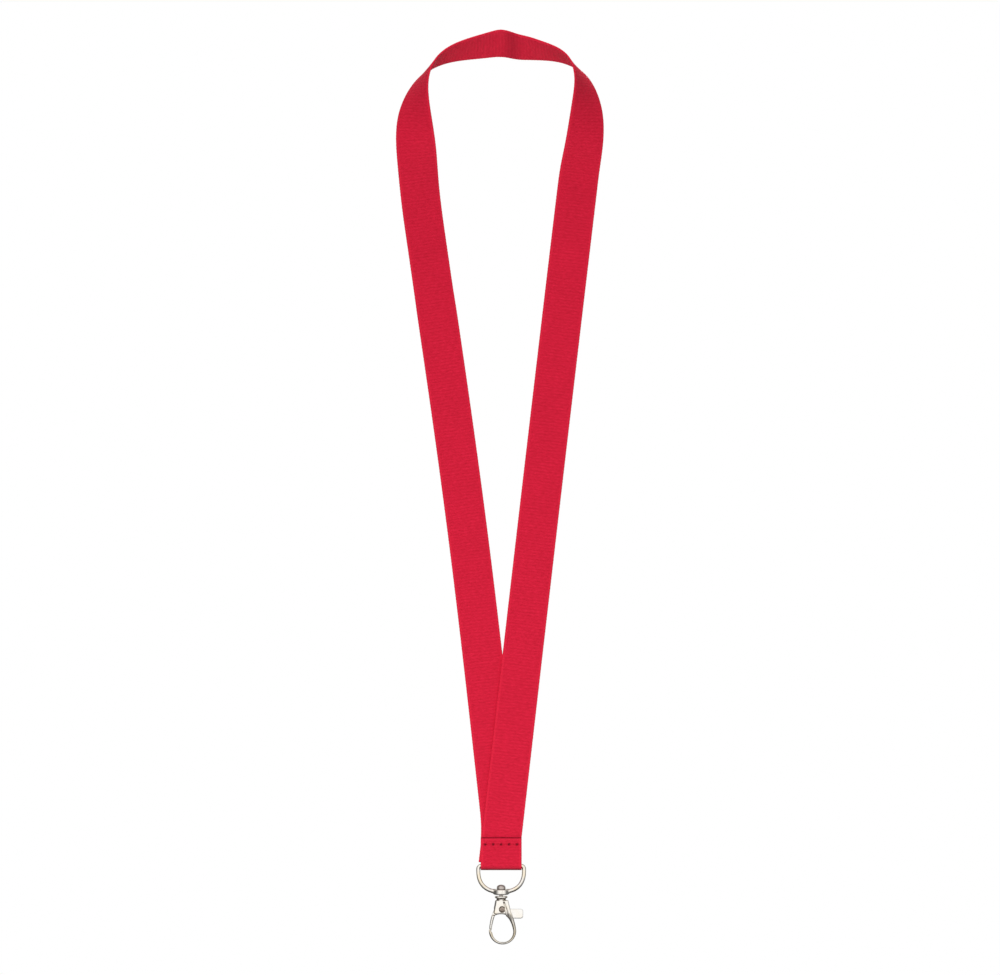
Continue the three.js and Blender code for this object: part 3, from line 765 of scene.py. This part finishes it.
def swept(points, radius, sides, plies=1, lay=0.0, bulge=0.0):
    """Vertices and faces of a closed tube along points, optionally laid up of twisted plies."""
    points = np.asarray(points, float)
    along = unit(np.gradient(points, axis=0))
    distance = distances_along(points)
    side = Vector(along[0]).orthogonal().normalized()
    vertices = []
    for i, place in enumerate(points):
        direction = Vector(along[i])
        side = (side - direction * side.dot(direction)).normalized()
        other = direction.cross(side)
        for k in range(sides):
            angle = 2 * math.pi * k / sides
            reach = radius * (1 + bulge * math.cos(plies * (angle - lay * distance[i])))
            offset = side * math.cos(angle) * reach + other * math.sin(angle) * reach
            vertices.append(place + np.array(offset))
    faces = []
    for i in range(len(points) - 1):
        faces.extend(ring_faces(i * sides, (i + 1) * sides, sides)[:, ::-1].tolist())
    faces.append(list(range(sides))[::-1])
    last = (len(points) - 1) * sides
    faces.append([last + k for k in range(sides)])
    return np.array(vertices), faces


def rounded_path(points, spacing):
    """A Catmull-Rom curve through points, sampled about every spacing."""
    points = [np.array(p, float) for p in points]
    ends = [2 * points[0] - points[1], *points, 2 * points[-1] - points[-2]]
    path = []
    for a, b, c, d in zip(ends, ends[1:], ends[2:], ends[3:]):
        steps = max(2, math.ceil(np.linalg.norm(c - b) / spacing))
        for t in np.arange(steps) / steps:
            cubic = (2 * b + (c - a) * t + (2 * a - 5 * b + 4 * c - d) * t * t
                     + (3 * b - a - 3 * c + d) * t ** 3)
            path.append(cubic / 2)
    path.append(points[-1])
    return np.array(path)


def make_stitches(name, node, face, look):
    """One thread of the seam, sunk along its channel and down into every hole."""
    surface = LAYER_PITCH + STRAP_HALF_THICKNESS
    on_top = face * (surface + 0.03)
    strand = 0.17
    points = [(stitch_xs()[0] - 1.3, on_top)]
    for x in stitch_xs():
        points += [
            (x - 0.85, on_top - face * 0.02),
            (x - 0.38, on_top - face * 0.24),
            (x - strand, face * 0.9),
            (x - strand, face * 0.4),
            (x, face * 0.2),
            (x + strand, face * 0.4),
            (x + strand, face * 0.9),
            (x + 0.38, on_top - face * 0.24),
            (x + 0.85, on_top - face * 0.02),
        ]
    points.append((stitch_xs()[-1] + 1.3, on_top))
    path = rounded_path([(x, y, STITCH_Z) for x, y in points], 0.07)
    vertices, faces = swept(path, THREAD_RADIUS, 12, plies=2, lay=4.2, bulge=0.14)
    piece = to_object(name, vertices, faces, look, "strap", node)
    # The stored weight paints shade on the thread near the holes.
    add_values(piece, "painted_shade", painted_shade(vertices))
    return piece


def make_spring(look):
    """A torsion spring round the gate's rivet, with one leg on the hook and one on the gate."""
    px, pz = PIVOT
    start, sweep, leg = math.radians(60), 2 * math.pi * SPRING_TURNS, 1.1

    def at(angle, y, slide=0.0):
        x = px + SPRING_RADIUS * math.cos(angle) - slide * math.sin(angle)
        z = pz + SPRING_RADIUS * math.sin(angle) + slide * math.cos(angle)
        return (HOOK_TOP[0] + x, y, HOOK_TOP[2] + z)

    points = [at(start, SPRING_FRONT_Y, -leg)]
    turns = np.linspace(0, 1, 61)
    for share in turns:
        y = SPRING_FRONT_Y + (SPRING_BACK_Y - SPRING_FRONT_Y) * share
        points.append(at(start + sweep * share, y))
    points.append(at(start + sweep, SPRING_BACK_Y, leg))
    vertices, faces = swept(rounded_path(points, 0.12), SPRING_WIRE_RADIUS, 14)
    piece = to_object("gate_spring_wire", vertices, faces, look, None, "gate_spring")
    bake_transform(piece)
    return piece


# ---------------- castings and rivets
# A casting is a field of signed distances on a grid, negative inside. Its surface
# has one point for each grid cell that the zero level passes through.

OUTSIDE = 50.0         # a distance, in mm, that is outside any casting


def from_pivot(grid):
    """Distance from the gate rivet's axis."""
    return np.hypot(grid.x - PIVOT[0], grid.z - PIVOT[1])


def grid_over(low, high, cell):
    axes = [np.arange(a, b + cell, cell) for a, b in zip(low, high)]
    x, y, z = np.meshgrid(*axes, indexing="ij", sparse=True)
    return SimpleNamespace(x=x, y=y, z=z, low=np.array(low), cell=cell)


def line_distance(u, w, points):
    """Distance to an open line in two coordinates."""
    nearest = np.full(np.broadcast(u, w).shape, np.inf)
    for (u0, w0), (u1, w1) in zip(points, points[1:]):
        du, dw = u1 - u0, w1 - w0
        share = np.clip(((u - u0) * du + (w - w0) * dw) / (du * du + dw * dw), 0, 1)
        nearest = np.minimum(nearest, np.hypot(u - u0 - share * du, w - w0 - share * dw))
    return nearest


def polygon_distance(u, w, points):
    """Signed distance to a closed outline in two coordinates."""
    closed = np.array([*points, points[0]], float)
    nearest = line_distance(u, w, closed)
    inside = np.zeros(nearest.shape, bool)
    for (u0, w0), (u1, w1) in zip(closed, closed[1:]):
        if w0 != w1:
            inside ^= ((w0 > w) != (w1 > w)) & (u < u0 + (w - w0) * (u1 - u0) / (w1 - w0))
    return np.where(inside, -nearest, nearest)


def arc(centre, radius, start, end, steps=24):
    turn = np.radians(np.linspace(start, end, steps + 1))
    return [(centre[0] + radius * math.cos(t), centre[1] + radius * math.sin(t)) for t in turn]


def curve(start, pull, end, steps=10):
    """A quadratic curve, without its first point."""
    shares = np.arange(1, steps + 1) / steps
    return [tuple((1 - t) ** 2 * np.array(start) + 2 * t * (1 - t) * np.array(pull)
                  + t * t * np.array(end)) for t in shares]


def both(a, b):
    return np.maximum(a, b)


def bevel(side, face, width, depth):
    """The sloping plane that takes an edge off: width along the face and depth down the side."""
    return (depth * side + width * face + depth * width) / np.hypot(width, depth)


def join(a, b, fillet):
    overlap = np.maximum(fillet - np.abs(a - b), 0) / fillet
    return np.minimum(a, b) - overlap * overlap * fillet / 4


def cut(a, b, fillet=0.12):
    return -join(-a, b, fillet)


def slab(coordinate, low, high):
    return np.abs(coordinate - (low + high) / 2) - (high - low) / 2


def rounded_bar(side, face, radius):
    """Where side and face meet, the edge is rounded to radius."""
    a, b = side + radius, face + radius
    outside = np.hypot(np.maximum(a, 0), np.maximum(b, 0))
    return outside + np.minimum(np.maximum(a, b), 0) - radius


def softened(field, passes):
    """Blurs a field, which rounds every edge and corner a little."""
    for _ in range(passes):
        for axis in range(3):
            field = (np.roll(field, 1, axis) + 2 * field + np.roll(field, -1, axis)) / 4
    return field


def surface(field, grid):
    """Vertices and quads of the field's zero surface."""
    inside = field < 0
    nx, ny, nz = (n - 1 for n in field.shape)
    corners = [(i, j, k) for i in (0, 1) for j in (0, 1) for k in (0, 1)]
    count = sum(inside[i:nx + i, j:ny + j, k:nz + k].astype(np.int8) for i, j, k in corners)
    where = np.argwhere((count > 0) & (count < 8))
    number = np.full((nx, ny, nz), -1, np.int64)
    number[tuple(where.T)] = np.arange(len(where))
    total, hits = np.zeros((len(where), 3)), np.zeros(len(where))
    steps = np.eye(3, dtype=int)
    for axis in range(3):
        first, second = steps[(axis + 1) % 3], steps[(axis + 2) % 3]
        for offset in (0 * first, first, second, first + second):
            a = field[tuple((where + offset).T)]
            b = field[tuple((where + offset + steps[axis]).T)]
            crosses = (a < 0) != (b < 0)
            share = np.where(crosses, a / np.where(crosses, a - b, 1), 0)
            total += crosses[:, None] * (offset + share[:, None] * steps[axis])
            hits += crosses
    vertices = grid.low + (where + total / hits[:, None]) * grid.cell
    faces = []
    for axis in range(3):
        e1, e2 = steps[(axis + 1) % 3], steps[(axis + 2) % 3]
        length = field.shape[axis]
        before = inside.take(range(length - 1), axis)
        after = inside.take(range(1, length), axis)
        edges = np.argwhere(before != after)
        around = [edges - e1 - e2, edges - e2, edges, edges - e1]
        quads = np.stack([number[tuple(p.T)] for p in around], axis=1)
        outward = before[tuple(edges.T)]
        quads[~outward] = quads[~outward][:, ::-1]
        faces.append(quads)
    return vertices, np.concatenate(faces).tolist()


def casting(name, field, grid, origin, look, body, node, passes=3):
    """A piece from a field; its hollow attribute is how far, in mm, blurring fills its hollows."""
    field = softened(field, passes)
    vertices, faces = surface(field, grid)
    nearest = np.rint((vertices - grid.low) / grid.cell).astype(int)
    hollow = (field - softened(field, 14))[tuple(nearest.T)]
    piece = to_object(name, vertices + np.array(origin), faces, look, body, node)
    add_values(piece, "hollow", hollow)
    return piece


def ring_path():
    """Half of the ring's centre line, from the boss up one side and along the bar."""
    bow = np.radians(np.linspace(90, 0, 40))
    points = [(RING_HALF_WIDTH * math.cos(t) ** (2 / BOW_POWER),
               BOW_TOP_Z - BOW_DEPTH * math.sin(t) ** (2 / BOW_POWER)) for t in bow]
    corner = (RING_HALF_WIDTH - RING_CORNER, -RING_CORNER)
    points += arc(corner, RING_CORNER, 0, 90, 10)
    points.append((0.0, 0.0))
    return points


def make_ring(look):
    grid = grid_over((-13.2, -4.2, -15.2), (13.2, 4.2, 1.8), 0.14)
    wire = np.hypot(line_distance(np.abs(grid.x), grid.z, ring_path()), grid.y) - WIRE_RADIUS
    around = np.hypot(grid.x, grid.y)
    height = slab(grid.z, BOSS_BOTTOM_Z, BOSS_TOP_Z)
    boss = rounded_bar(around - BOSS_RADIUS, height, 0.6)
    solid = join(wire, boss, 1.3)
    solid = both(solid, BOSS_BOTTOM_Z - grid.z)
    solid = cut(solid, around - SWIVEL_BORE_RADIUS)
    return casting("ring_casting", solid, grid, (TAB_X, 0, BAR_Z), look, "ring",
                   "d_ring")


def make_swivel_rivet(look):
    base = BOSS_TOP_Z + METAL_GAP
    foot_top = HOOK_Z + CAVITY_TOP_Z - METAL_GAP
    foot_bottom = foot_top - FOOT_HEIGHT
    side_height = 0.9
    grid = grid_over((-2.6, -2.6, foot_bottom - 0.4), (2.6, 2.6, base + HEAD_HEIGHT + 0.4), 0.09)
    around = np.hypot(grid.x, grid.y)
    rise = HEAD_HEIGHT - side_height
    dome = [(HEAD_RADIUS * math.cos(t), base + side_height + rise * math.sin(t))
            for t in np.radians(np.linspace(0, 84, 15))]
    profile = [(-1.0, foot_bottom), (FOOT_RADIUS, foot_bottom), (FOOT_RADIUS, foot_top),
               (SHANK_RADIUS, foot_top), (SHANK_RADIUS, base), (HEAD_RADIUS, base), *dome,
               (-1.0, base + HEAD_HEIGHT)]
    solid = polygon_distance(around, grid.z, profile)
    dents = 0.02 * np.sin(grid.x * 3.3 + 0.4) * np.sin(grid.y * 2.9 + 1.1) * np.sin(grid.z * 2.1)
    return casting("swivel_rivet_steel", solid + dents, grid, (TAB_X, 0, BAR_Z), look, "hook",
                   "swivel_rivet", passes=2)


def body_lower_edge():
    edge = curve((3.6, -11.3), (1.9, -9.0), (-0.8, -9.15))
    return [*edge, (-2.85, -9.4), (-4.1, -8.3)]


def hook_opening_side():
    """The inside of the hook, from beside the nose round the bow to the body's lower edge."""
    centre, radius = INNER_BOW
    seat = math.degrees(math.asin(SEAT_HALF_WIDTH / radius))
    inner = arc(centre, radius, 188, 270 - seat, 20) + arc(centre, radius, 270 + seat, 366, 26)
    return inner + curve(inner[-1], (5.4, -13.8), (3.6, -11.3)) + body_lower_edge()


def hook_outline():
    centre, radius = OUTER_BOW
    right = [(3.55, BODY_TOP_Z), (4.85, -7.85)]
    right += curve(right[-1], (7.2, -13.0), (centre[0] + radius, centre[1]))
    bow = arc(centre, radius, 0, -180, 60)[1:]
    nose = [(-6.1, -16.4), (-4.45, -18.3)]
    return [(-2.95, BODY_TOP_Z), *right, *bow, *nose, *hook_opening_side()]


def hook_blank(grid, face, slope):
    """The solid hook inside its outline, with its edges bevelled."""
    side = polygon_distance(grid.x, grid.z, hook_outline())
    opening = polygon_distance(grid.x, grid.z, [(-5.5, -14.0), *hook_opening_side()])
    solid = both(side, face)
    edge_width = 0.35 + 0.45 * slope
    solid = both(solid, (side + face + edge_width) / math.sqrt(2))
    inner_width = 0.35 + 0.5 * smooth_step(grid.x, -2.0, 3.5)
    solid = both(solid, bevel(-opening, face, inner_width, 1.5 * inner_width))
    left_rim = [(-2.95, 0), (-2.95, -2.1), (-4.1, -8.3), (-4.3, -9.4)]
    far_round = [(-40, -10), (-40, -60), (40, -60), (40, 0)]
    left_edge = polygon_distance(grid.x, grid.z, left_rim + far_round)
    return both(solid, bevel(left_edge, face, 0.8, 0.95))


def add_collar(solid, grid, around):
    collar = [(-1.0, 0.0), (3.0, 0.0), (3.25, -0.25), (3.25, -0.85), (3.0, -1.1), (2.4, -1.2),
              (2.3, -1.5), (2.3, -2.7), (-1.0, -2.7)]
    return join(solid, polygon_distance(around, grid.z, collar), 0.1)


def hollow_out_hook(solid, grid, face):
    """Cuts the cavity, the slot that the gate's tab swings in, and the groove on each face."""
    cavity = [(-2.2, CAVITY_TOP_Z), (2.7, CAVITY_TOP_Z), (3.0, -8.0), (1.6, -11.5),
              (-6.5, -11.5), (-6.5, -6.9), (-2.2, -6.2)]
    room = polygon_distance(grid.x, grid.z, cavity)
    solid = cut(solid, both(room, np.abs(grid.y) - CAVITY_HALF_DEPTH))
    slot = [(2.0, CAVITY_TOP_Z), (9.0, CAVITY_TOP_Z), (9.0, -12.0), (4.6, -12.0), (1.4, -10.2)]
    slot = polygon_distance(grid.x, grid.z, slot)
    solid = cut(solid, both(slot, slab(grid.y, LEVER_FRONT_Y - 0.4, CAVITY_HALF_DEPTH)))
    from_line = line_distance(grid.x, grid.z, VALLEY_LINE)
    half_width = 0.36 + 0.55 * smooth_step(-grid.z, 3.0, 13.0)
    round_groove = np.hypot(from_line / half_width, face / VALLEY_DEPTH) - 1
    return cut(solid, round_groove * half_width, 0.1)


def drill_hook(solid, grid, around):
    """Cuts the swivel rivet's bore and foot room, and the gate rivet's bore and head rooms."""
    solid = cut(solid, np.where(grid.z < BORE_END_Z, OUTSIDE, around - SWIVEL_BORE_RADIUS))
    foot_height = slab(grid.z, CAVITY_TOP_Z - FOOT_ROOM_HEIGHT, CAVITY_TOP_Z)
    solid = cut(solid, both(around - FOOT_RADIUS - FOOT_ROOM, foot_height))
    pin = from_pivot(grid)
    solid = cut(solid, pin - PIN_RADIUS - METAL_GAP)
    head_depth = BODY_HALF_DEPTH - PIN_HEAD_DEPTH - np.abs(grid.y)
    return cut(solid, both(pin - PIN_HEAD_RADIUS - METAL_GAP, head_depth), 0.1)


def make_hook(look):
    grid = grid_over((-6.8, -3.6, -24.9), (8.2, 3.6, 0.6), 0.12)
    slope = smooth_step(-grid.z, 8.0, 13.0)
    half_depth = BODY_HALF_DEPTH + (BOW_HALF_DEPTH - BODY_HALF_DEPTH) * slope
    face = np.abs(grid.y) - half_depth
    around = np.hypot(grid.x, grid.y)
    solid = add_collar(hook_blank(grid, face, slope), grid, around)
    solid = drill_hook(hollow_out_hook(solid, grid, face), grid, around)
    return casting("hook_casting", solid, grid, HOOK_TOP, look, "hook", "hook_body")


def gate_tab():
    """Outline of the neck and thumb tab, to the right of the hub."""
    right, top, bottom, corner = 11.0, -6.55, -11.35, 1.3
    tab = [(0.5, -5.1), (2.3, -5.9), (5.2, top), (right - corner, top)]
    tab += arc((right - corner, top - corner), corner, 90, 0, 10)[1:]
    tab += arc((right - corner, bottom + corner), corner, 0, -90, 10)
    tab += [(5.6, bottom), (1.6, -8.2)]
    return tab


def make_gate(look):
    grid = grid_over((-6.5, -1.9, -18.2), (11.6, 1.9, -4.3), 0.1)
    lever = slab(grid.y, LEVER_FRONT_Y, LEVER_BACK_Y)
    around = from_pivot(grid)
    hub = both(around - HUB_RADIUS, lever)
    web = [(0.5, -5.1), (-3.9, -7.5), (-4.75, -9.9), (-3.1, -9.9), (0.5, -8.4)]
    web = both(polygon_distance(grid.x, grid.z, web), lever)
    tab = rounded_bar(polygon_distance(grid.x, grid.z, gate_tab()), lever, 0.32)
    outer = curve((-4.75, -9.75), (-5.75, -13.0), (-5.98, -16.3))
    inner = curve((-4.86, -17.6), (-4.4, -13.5), (-3.1, -9.75))
    arm = polygon_distance(grid.x, grid.z, [(-4.75, -9.75), *outer, (-4.86, -17.6), *inner])
    face = np.abs(grid.y) - ARM_HALF_DEPTH
    arm = both(both(arm, face), (arm + face + 0.5) / math.sqrt(2))
    solid = join(join(hub, web, 0.3), join(tab, arm, 0.2), 0.3)
    solid = cut(solid, around - HUB_BORE_RADIUS)
    return casting("gate_casting", solid, grid, HOOK_TOP, look, "gate", "gate_lever")


def make_gate_rivet(look):
    px, pz = PIVOT
    face = BODY_HALF_DEPTH + PIN_PROUD
    step = BODY_HALF_DEPTH - PIN_HEAD_DEPTH + METAL_GAP
    grid = grid_over((px - 1.8, -3.1, pz - 1.8), (px + 1.8, 3.1, pz + 1.8), 0.08)
    around = from_pivot(grid)
    crown = np.clip(around / PIN_HEAD_RADIUS, 0, 1) ** 2 * 0.45
    crown = crown + 0.14 * np.exp(-((around / 0.5) ** 2))
    depth = np.abs(grid.y)
    head = both(around - PIN_HEAD_RADIUS, both(step - depth, depth - face + crown))
    shank = both(around - PIN_RADIUS, depth - step - 0.2)
    solid = np.minimum(head, shank)
    dents = 0.03 * np.sin(grid.x * 4.1 + 1.0) * np.sin(grid.z * 3.7 + 0.3)
    return casting("gate_rivet_steel", solid + dents, grid, HOOK_TOP, look, "hook",
                   "gate_rivet", passes=2)


# ---------------- studio

FLOOR_Z = -0.56
FLOOR_RADIUS = 0.6
WORLD_ON_FABRIC = 0.5
WORLD_ON_METAL = 1.2


def make_floor():
    look = Look("pale_floor")
    specks = look.noise(look.place(), 30.0, 3.0, 0.5)
    look.feed("Base Color", look.ramp(specks, (0.3, (0.80, 0.80, 0.80)), (0.7, (0.84, 0.84, 0.84))))
    look.set(Roughness=0.6)
    sides = 96
    turn = np.linspace(0, 2 * math.pi, sides, endpoint=False)
    xs, ys = CAD_MIDDLE.x + FLOOR_RADIUS * np.cos(turn), CAD_MIDDLE.y + FLOOR_RADIUS * np.sin(turn)
    vertices = [(x, y, FLOOR_Z) for x, y in zip(xs.tolist(), ys.tolist())]
    mesh = bpy.data.meshes.new("floor")
    mesh.from_pydata(vertices, [], [list(range(sides))])
    mesh.materials.append(look.material)
    floor = bpy.data.objects.new("floor", mesh)
    floor.visible_glossy = False
    bpy.context.collection.objects.link(floor)


def brightness(nodes, value, *stops):
    """Brightness against one part of the direction, which runs from -1 to 1."""
    share = nodes.node("ShaderNodeMapRange", None, Value=value, From_Min=-1.0).outputs[0]
    return nodes.ramp(share, *[((at + 1) / 2, (grey, grey, grey)) for at, grey in stops])


def chosen_by(nodes, share, first, second):
    """A shader that goes from the first to the second as share goes from 0 to 1."""
    return nodes.node("ShaderNodeMixShader", None, i0=share, i1=first.outputs[0],
                      i2=second.outputs[0])


def make_world():
    """White where the camera looks; for the light and the reflections, a studio with a dark floor."""
    world = bpy.data.worlds.new("studio")
    world.use_nodes = True
    world.node_tree.nodes.clear()
    nodes = Nodes(world.node_tree)
    direction = nodes.node("ShaderNodeTexCoord").outputs["Generated"]
    split = nodes.node("ShaderNodeSeparateXYZ", None, Vector=direction)
    upward = brightness(nodes, split.outputs["Z"], (-0.9, 0.03), (-0.4, 0.4), (-0.1, 1.0),
                        (0.8, 0.9))
    sideways = brightness(nodes, split.outputs["X"], (-0.98, 0.3), (-0.6, 1.0), (0.25, 1.0),
                          (0.31, 0.4), (0.37, 1.0), (0.75, 1.0), (0.98, 0.5))
    away = brightness(nodes, split.outputs["Y"], (-0.3, 1.0), (0.05, 0.32), (0.7, 0.3),
                      (0.95, 0.8))
    pattern = nodes.times(nodes.times(upward, sideways), away)
    on_metal = nodes.node("ShaderNodeBackground", None, Color=(1.0, 0.985, 0.965, 1.0),
                          Strength=nodes.times(pattern, WORLD_ON_METAL))
    on_fabric = nodes.node("ShaderNodeBackground", None,
                           Strength=nodes.times(upward, WORLD_ON_FABRIC))
    backdrop = nodes.node("ShaderNodeBackground", None, Color=(1.0, 1.0, 1.0, 1.0), Strength=1.0)
    rays = nodes.node("ShaderNodeLightPath")
    light = chosen_by(nodes, rays.outputs["Is Glossy Ray"], on_fabric, on_metal)
    chosen = chosen_by(nodes, rays.outputs["Is Camera Ray"], light, backdrop)
    nodes.node("ShaderNodeOutputWorld", None, Surface=chosen.outputs[0])
    bpy.context.scene.world = world


def softbox(name, place, target, size, power):
    """A soft lamp that polished metal doesn't mirror; the world holds what metal mirrors."""
    data = bpy.data.lights.new(name, "AREA")
    data.shape = "RECTANGLE"
    data.size, data.size_y = size
    data.energy = power
    lamp = bpy.data.objects.new(name, data)
    lamp.location = place
    lamp.rotation_euler = (Vector(target) - Vector(place)).to_track_quat("-Z", "Y").to_euler()
    lamp.visible_camera = False
    lamp.visible_glossy = False
    bpy.context.collection.objects.link(lamp)


def make_studio():
    make_floor()
    make_world()
    target = (0, 0, -0.22)
    softbox("key_light", (-0.2, -2.0, -0.5), target, (0.8, 0.8), 12.5)
    softbox("low_light", (-0.25, -1.5, -0.65), target, (0.9, 0.3), 8.0)
    softbox("top_light", (0.0, 0.1, 1.5), target, (1.4, 1.4), 22.0)
    softbox("back_light", (0.6, 1.9, 0.4), target, (0.9, 0.9), 18.0)
    bpy.context.scene.view_settings.view_transform = "Standard"


# ---------------- lanyard


def make_lanyard():
    nickel = plated_look("bright_nickel", (0.87, 0.84, 0.79), (0.88, 0.78, 0.60), 0.10, 0.4)
    satin = plated_look("satin_nickel", (0.93, 0.92, 0.90), (0.92, 0.89, 0.83), 0.18, 0.15)
    steel = steel_look("rivet_steel", (0.42, 0.37, 0.35), (0.66, 0.60, 0.56), 0.22)
    dark_steel = steel_look("peened_steel", (0.30, 0.24, 0.20), (0.50, 0.42, 0.36), 0.30)
    wire = steel_look("spring_wire", (0.24, 0.24, 0.25), (0.42, 0.42, 0.43), 0.22)
    thread = thread_look()
    route = strap_route()
    length = route.distance[-1]
    webbing = make_webbing(route, webbing_look(length))
    front = make_stitches("front_stitches", "needle_thread", -1, thread)
    back = make_stitches("back_stitches", "bobbin_thread", 1, thread)
    make_ring(nickel)
    make_swivel_rivet(steel)
    make_hook(nickel)
    make_gate(satin)
    make_gate_rivet(dark_steel)
    make_spring(wire)


make_camera()
make_lanyard()
make_studio()
